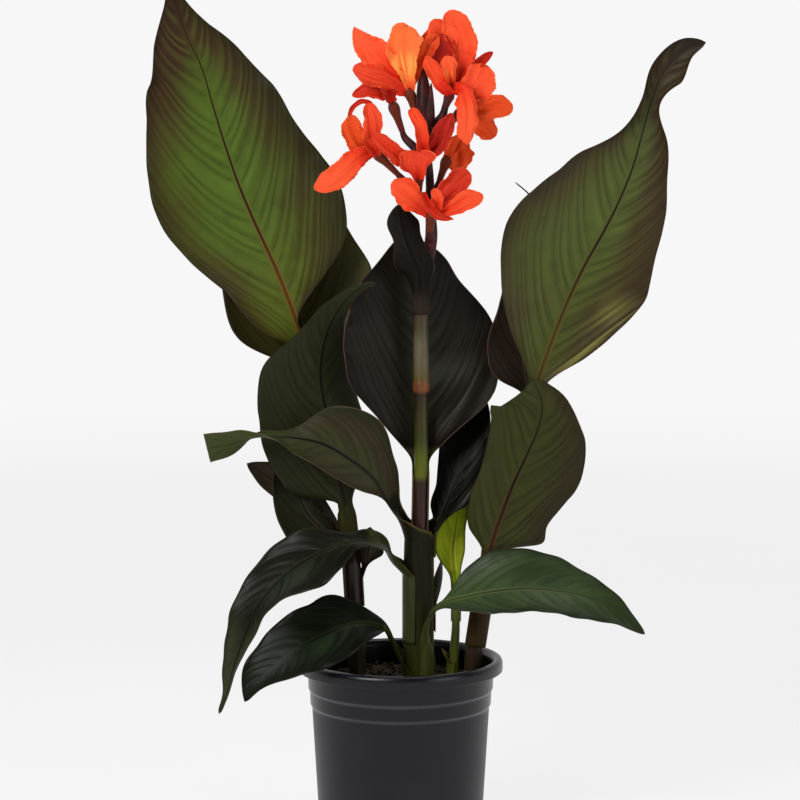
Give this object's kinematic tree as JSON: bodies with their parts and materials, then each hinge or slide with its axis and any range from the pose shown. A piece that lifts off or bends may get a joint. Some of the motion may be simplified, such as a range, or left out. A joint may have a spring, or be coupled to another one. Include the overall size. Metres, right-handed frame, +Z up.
{
  "type": "potted canna lily",
  "caption": "Flowering canna lily rooted in a round plastic nursery pot, with clasping leaves on upright shoots and a spike of ruffled blooms.",
  "frame": {"origin": "bottom centre of the pot, on the plane that it stands on", "axes": "+Z up along the pot's axis; the plant faces -Y, the side seen in the picture; +X to the viewer's right"},
  "size_m": [0.5563, 0.206, 0.8686],
  "materials": {
    "pot": "satin",
    "soil": "matte",
    "rhizome": "matte",
    "stem_centre": "satin",
    "stem_left": "satin",
    "stem_right": "satin",
    "stem_small": "satin",
    "leaf_upper_left": "satin",
    "leaf_upper_left_back": "satin",
    "leaf_left_middle": "satin",
    "leaf_left_lower": "satin",
    "leaf_left_lower_back": "satin",
    "leaf_left_small": "satin",
    "leaf_droop_left": "satin",
    "leaf_lowest_left": "satin",
    "leaf_low_right": "satin",
    "leaf_twisted": "satin",
    "leaf_boat": "satin",
    "leaf_centre_back": "satin",
    "leaf_flower_cup": "satin",
    "leaf_upper_right": "satin",
    "leaf_right_back": "satin",
    "leaf_right_middle": "satin",
    "leaf_lime_shoot": "satin",
    "leaf_dark_bract": "satin",
    "leaf_scale_centre": "satin",
    "leaf_scale_small": "satin",
    "flower_spike": "satin",
    "bloom_upper_left": "matte",
    "bloom_left_small": "matte",
    "bloom_top": "matte",
    "bloom_right": "matte",
    "bloom_left": "matte",
    "bloom_centre": "matte",
    "bloom_shaded": "matte",
    "bloom_lowest": "matte"
  },
  "bodies": {
    "root": {"pot": "pot", "soil": "soil", "rhizome": "rhizome", "stem_centre": "stem_centre", "stem_left": "stem_left", "stem_right": "stem_right", "stem_small": "stem_small", "leaf_upper_left": "leaf_upper_left", "leaf_upper_left_back": "leaf_upper_left_back", "leaf_left_middle": "leaf_left_middle", "leaf_left_lower": "leaf_left_lower", "leaf_left_lower_back": "leaf_left_lower_back", "leaf_left_small": "leaf_left_small", "leaf_droop_left": "leaf_droop_left", "leaf_lowest_left": "leaf_lowest_left", "leaf_low_right": "leaf_low_right", "leaf_twisted": "leaf_twisted", "leaf_boat": "leaf_boat", "leaf_centre_back": "leaf_centre_back", "leaf_flower_cup": "leaf_flower_cup", "leaf_upper_right": "leaf_upper_right", "leaf_right_back": "leaf_right_back", "leaf_right_middle": "leaf_right_middle", "leaf_lime_shoot": "leaf_lime_shoot", "leaf_dark_bract": "leaf_dark_bract", "leaf_scale_centre": "leaf_scale_centre", "leaf_scale_small": "leaf_scale_small", "flower_spike": "flower_spike", "bloom_upper_left": "bloom_upper_left", "bloom_left_small": "bloom_left_small", "bloom_top": "bloom_top", "bloom_right": "bloom_right", "bloom_left": "bloom_left", "bloom_centre": "bloom_centre", "bloom_shaded": "bloom_shaded", "bloom_lowest": "bloom_lowest"}
  },
  "joints": []
}
